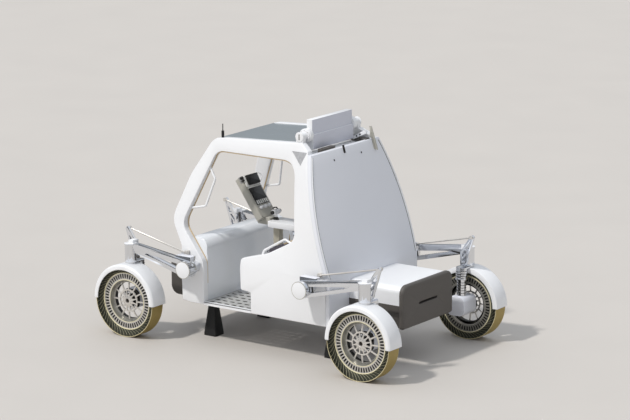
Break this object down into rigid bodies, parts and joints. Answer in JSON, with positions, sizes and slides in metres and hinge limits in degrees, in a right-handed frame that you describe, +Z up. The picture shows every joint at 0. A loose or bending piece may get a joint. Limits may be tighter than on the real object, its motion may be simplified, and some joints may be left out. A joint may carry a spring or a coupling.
{
  "type": "planetary rover",
  "caption": "Open-cab planetary rover with steered wheels on arms, side-by-side seats, a rear equipment deck and a tilting roof antenna, on display stands.",
  "frame": {"origin": "on the ground, midway between the axles and on the centre plane", "axes": "+X forward, +Y to the rider's left, +Z up"},
  "size_m": [3.828, 2.204, 2.442],
  "materials": {
    "white_body": "satin white paint",
    "gloss_dash": "glossy white moulding",
    "polished": "polished",
    "grey_housing": "satin light grey",
    "dark_case": "dark grey",
    "wheel_metal": "bead blasted",
    "tread": "golden brown woven metal",
    "seat_cloth": "dark cloth",
    "table_top": "satin white",
    "console": "satin light grey",
    "black_stand": "matt black",
    "grating": "perforated",
    "black_wire": "matt"
  },
  "bodies": {
    "chassis": {"antenna_brackets": "white_body", "arm_front_left": "polished", "arm_front_right": "polished", "arm_rear_left": "polished", "arm_rear_right": "polished", "centre_table": "table_top", "dash_bulkhead": "gloss_dash", "display_console": "console", "display_stands": "black_stand", "floor_pan": "dark_case", "front_bay": "dark_case", "hand_controller": "console", "hand_rails": "polished", "rear_bay": "dark_case", "rear_deck": "white_body", "rear_wall": "white_body", "roof_panel": "white_body", "seat_base": "white_body", "seats": "seat_cloth", "side_frame_left": "white_body", "side_frame_right": "white_body", "step_gratings": "grating", "upper_rods": "polished", "upright_front_left": "polished", "upright_front_right": "polished", "upright_rear_left": "polished", "upright_rear_right": "polished", "whip_aerial": "black_wire"},
    "antenna": {"antenna_panel": "white_body"},
    "steering_front_left": {"fender_front_left": "white_body", "knuckle_front_left": "grey_housing"},
    "wheel_front_left": {"rim_front_left": "wheel_metal", "tyre_front_left": "tread"},
    "steering_front_right": {"fender_front_right": "white_body", "knuckle_front_right": "grey_housing"},
    "wheel_front_right": {"rim_front_right": "wheel_metal", "tyre_front_right": "tread"},
    "steering_rear_left": {"fender_rear_left": "white_body", "knuckle_rear_left": "grey_housing"},
    "wheel_rear_left": {"rim_rear_left": "wheel_metal", "tyre_rear_left": "tread"},
    "steering_rear_right": {"fender_rear_right": "white_body", "knuckle_rear_right": "grey_housing"},
    "wheel_rear_right": {"rim_rear_right": "wheel_metal", "tyre_rear_right": "tread"}
  },
  "joints": [
    {"name": "antenna_tilt", "type": "hinge", "parent": "chassis", "child": "antenna", "pos_m": [-0.391, 0, 2.285], "axis": [0, 1, 0], "range_deg": [-10, 60]},
    {"name": "steer_front_left", "type": "hinge", "parent": "chassis", "child": "steering_front_left", "pos_m": [1.51, 0.955, 0.8], "axis": [0, 0, 1], "range_deg": [-45, 45]},
    {"name": "roll_front_left", "type": "hinge", "parent": "steering_front_left", "child": "wheel_front_left", "pos_m": [1.51, 0.994, 0.382], "axis": [0, 1, 0], "continuous": true},
    {"name": "steer_front_right", "type": "hinge", "parent": "chassis", "child": "steering_front_right", "pos_m": [1.51, -0.955, 0.8], "axis": [0, 0, 1], "range_deg": [-45, 45]},
    {"name": "roll_front_right", "type": "hinge", "parent": "steering_front_right", "child": "wheel_front_right", "pos_m": [1.51, -0.994, 0.382], "axis": [0, 1, 0], "continuous": true},
    {"name": "steer_rear_left", "type": "hinge", "parent": "chassis", "child": "steering_rear_left", "pos_m": [-1.51, 0.955, 0.8], "axis": [0, 0, 1], "range_deg": [-45, 45]},
    {"name": "roll_rear_left", "type": "hinge", "parent": "steering_rear_left", "child": "wheel_rear_left", "pos_m": [-1.51, 0.994, 0.382], "axis": [0, 1, 0], "continuous": true},
    {"name": "steer_rear_right", "type": "hinge", "parent": "chassis", "child": "steering_rear_right", "pos_m": [-1.51, -0.955, 0.8], "axis": [0, 0, 1], "range_deg": [-45, 45]},
    {"name": "roll_rear_right", "type": "hinge", "parent": "steering_rear_right", "child": "wheel_rear_right", "pos_m": [-1.51, -0.994, 0.382], "axis": [0, 1, 0], "continuous": true}
  ]
}
